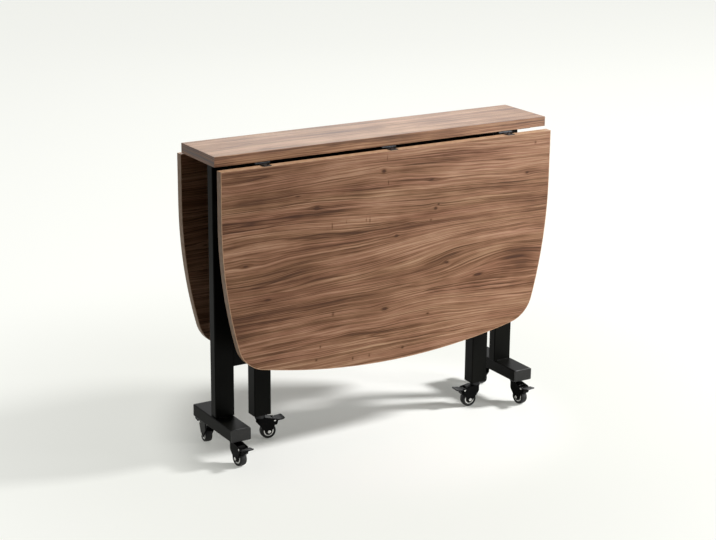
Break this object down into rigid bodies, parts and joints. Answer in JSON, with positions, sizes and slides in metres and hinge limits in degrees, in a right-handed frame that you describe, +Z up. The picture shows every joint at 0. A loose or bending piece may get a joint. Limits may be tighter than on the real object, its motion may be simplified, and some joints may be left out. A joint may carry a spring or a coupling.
{
  "type": "folding room service table",
  "caption": "Drop-leaf room service table, folded: narrow wood-grain board, two hanging round-cornered leaves, black tube frame with swinging gate legs on braked swivel casters.",
  "frame": {"origin": "on the floor, under the middle of the fixed board", "axes": "+X runs along the table to the right, +Y points to the back, +Z up; the front leaf faces -Y"},
  "size_m": [0.91, 0.2576, 0.745],
  "materials": {
    "wood_decor": "satin wood-grain laminate",
    "edge_band": "matte edge banding",
    "black_coat": "semi-gloss powder coat",
    "caster_coat": "semi-gloss black coat",
    "black_plastic": "moulded plastic, fine texture",
    "zinc_plate": "bright zinc plate",
    "bright_steel": "turned bright steel",
    "wheel_core": "moulded plastic with a bright ring",
    "tyre_rubber": "matte rubber"
  },
  "bodies": {
    "frame": {"centre_board": "wood_decor", "hinge_plates": "zinc_plate", "hinge_pins": "bright_steel", "left_foot": "black_coat", "right_foot": "black_coat", "foot_end_caps": "black_plastic", "left_post": "black_coat", "right_post": "black_coat", "lower_rail": "black_coat", "upper_rail": "black_coat", "board_plates": "black_coat", "pivot_lugs": "black_coat", "foot_caster_stems": "zinc_plate"},
    "front_leaf": {"front_leaf": "wood_decor", "front_edge_band": "edge_band", "front_hinge_tabs": "zinc_plate", "front_leaf_stop": "black_plastic"},
    "back_leaf": {"back_leaf": "wood_decor", "back_edge_band": "edge_band", "back_hinge_tabs": "zinc_plate", "back_leaf_stop": "black_plastic"},
    "left_gate": {"left_gate_leg": "black_coat", "left_gate_arms": "black_coat", "left_gate_pivot_tube": "black_coat", "left_gate_caster_stem": "zinc_plate"},
    "right_gate": {"right_gate_leg": "black_coat", "right_gate_arms": "black_coat", "right_gate_pivot_tube": "black_coat", "right_gate_caster_stem": "zinc_plate"},
    "left_front_caster": {"left_front_caster_fork": "caster_coat", "left_front_caster_axle": "bright_steel"},
    "left_front_wheel": {"left_front_wheel_core": "wheel_core", "left_front_tyre": "tyre_rubber"},
    "left_front_pedal": {"left_front_brake_pedal": "caster_coat"},
    "left_back_caster": {"left_back_caster_fork": "caster_coat", "left_back_caster_axle": "bright_steel"},
    "left_back_wheel": {"left_back_wheel_core": "wheel_core", "left_back_tyre": "tyre_rubber"},
    "left_back_pedal": {"left_back_brake_pedal": "caster_coat"},
    "right_front_caster": {"right_front_caster_fork": "caster_coat", "right_front_caster_axle": "bright_steel"},
    "right_front_wheel": {"right_front_wheel_core": "wheel_core", "right_front_tyre": "tyre_rubber"},
    "right_front_pedal": {"right_front_brake_pedal": "caster_coat"},
    "right_back_caster": {"right_back_caster_fork": "caster_coat", "right_back_caster_axle": "bright_steel"},
    "right_back_wheel": {"right_back_wheel_core": "wheel_core", "right_back_tyre": "tyre_rubber"},
    "right_back_pedal": {"right_back_brake_pedal": "caster_coat"},
    "left_gate_caster": {"left_gate_caster_fork": "caster_coat", "left_gate_caster_axle": "bright_steel"},
    "left_gate_wheel": {"left_gate_wheel_core": "wheel_core", "left_gate_tyre": "tyre_rubber"},
    "left_gate_pedal": {"left_gate_brake_pedal": "caster_coat"},
    "right_gate_caster": {"right_gate_caster_fork": "caster_coat", "right_gate_caster_axle": "bright_steel"},
    "right_gate_wheel": {"right_gate_wheel_core": "wheel_core", "right_gate_tyre": "tyre_rubber"},
    "right_gate_pedal": {"right_gate_brake_pedal": "caster_coat"}
  },
  "joints": [
    {"name": "front_leaf_hinge", "type": "hinge", "parent": "frame", "child": "front_leaf", "pos_m": [0, -0.0843, 0.7184], "axis": [-1, 0, 0], "range_deg": [0, 90]},
    {"name": "back_leaf_hinge", "type": "hinge", "parent": "frame", "child": "back_leaf", "pos_m": [0, 0.0843, 0.7184], "axis": [1, 0, 0], "range_deg": [0, 90]},
    {"name": "left_gate_swing", "type": "hinge", "parent": "frame", "child": "left_gate", "pos_m": [0.06, 0.035, 0.268], "axis": [0, 0, -1], "range_deg": [0, 5.5]},
    {"name": "right_gate_swing", "type": "hinge", "parent": "frame", "child": "right_gate", "pos_m": [-0.042, -0.035, 0.268], "axis": [0, 0, -1], "range_deg": [0, 5.5]},
    {"name": "left_front_swivel", "type": "hinge", "parent": "frame", "child": "left_front_caster", "pos_m": [-0.4045, -0.067, 0.056], "axis": [0, 0, 1], "continuous": true},
    {"name": "left_front_wheel_spin", "type": "hinge", "parent": "left_front_caster", "child": "left_front_wheel", "pos_m": [-0.40241, -0.08689, 0.0195], "axis": [0.9945, 0.1045, 0], "continuous": true},
    {"name": "left_front_brake_press", "type": "hinge", "parent": "left_front_caster", "child": "left_front_pedal", "pos_m": [-0.40084, -0.10181, 0.0465], "axis": [0.9945, 0.1045, 0], "range_deg": [0, 12]},
    {"name": "left_back_swivel", "type": "hinge", "parent": "frame", "child": "left_back_caster", "pos_m": [-0.4045, 0.067, 0.056], "axis": [0, 0, 1], "continuous": true},
    {"name": "left_back_wheel_spin", "type": "hinge", "parent": "left_back_caster", "child": "left_back_wheel", "pos_m": [-0.40241, 0.08689, 0.0195], "axis": [-0.9945, 0.1045, 0], "continuous": true},
    {"name": "left_back_brake_press", "type": "hinge", "parent": "left_back_caster", "child": "left_back_pedal", "pos_m": [-0.40084, 0.10181, 0.0465], "axis": [-0.9945, 0.1045, 0], "range_deg": [0, 12]},
    {"name": "right_front_swivel", "type": "hinge", "parent": "frame", "child": "right_front_caster", "pos_m": [0.4045, -0.067, 0.056], "axis": [0, 0, 1], "continuous": true},
    {"name": "right_front_wheel_spin", "type": "hinge", "parent": "right_front_caster", "child": "right_front_wheel", "pos_m": [0.40659, -0.08689, 0.0195], "axis": [0.9945, 0.1045, 0], "continuous": true},
    {"name": "right_front_brake_press", "type": "hinge", "parent": "right_front_caster", "child": "right_front_pedal", "pos_m": [0.40816, -0.10181, 0.0465], "axis": [0.9945, 0.1045, 0], "range_deg": [0, 12]},
    {"name": "right_back_swivel", "type": "hinge", "parent": "frame", "child": "right_back_caster", "pos_m": [0.4045, 0.067, 0.056], "axis": [0, 0, 1], "continuous": true},
    {"name": "right_back_wheel_spin", "type": "hinge", "parent": "right_back_caster", "child": "right_back_wheel", "pos_m": [0.40659, 0.08689, 0.0195], "axis": [-0.9945, 0.1045, 0], "continuous": true},
    {"name": "right_back_brake_press", "type": "hinge", "parent": "right_back_caster", "child": "right_back_pedal", "pos_m": [0.40816, 0.10181, 0.0465], "axis": [-0.9945, 0.1045, 0], "range_deg": [0, 12]},
    {"name": "left_gate_swivel", "type": "hinge", "parent": "left_gate", "child": "left_gate_caster", "pos_m": [-0.284, 0.035, 0.056], "axis": [0, 0, 1], "continuous": true},
    {"name": "left_gate_wheel_spin", "type": "hinge", "parent": "left_gate_caster", "child": "left_gate_wheel", "pos_m": [-0.2642, 0.03222, 0.0195], "axis": [0.1392, 0.9903, 0], "continuous": true},
    {"name": "left_gate_brake_press", "type": "hinge", "parent": "left_gate_caster", "child": "left_gate_pedal", "pos_m": [-0.24934, 0.03013, 0.0465], "axis": [0.1392, 0.9903, 0], "range_deg": [0, 12]},
    {"name": "right_gate_swivel", "type": "hinge", "parent": "right_gate", "child": "right_gate_caster", "pos_m": [0.302, -0.035, 0.056], "axis": [0, 0, 1], "continuous": true},
    {"name": "right_gate_wheel_spin", "type": "hinge", "parent": "right_gate_caster", "child": "right_gate_wheel", "pos_m": [0.28211, -0.03291, 0.0195], "axis": [-0.1045, -0.9945, 0], "continuous": true},
    {"name": "right_gate_brake_press", "type": "hinge", "parent": "right_gate_caster", "child": "right_gate_pedal", "pos_m": [0.26719, -0.03134, 0.0465], "axis": [-0.1045, -0.9945, 0], "range_deg": [0, 12]}
  ]
}
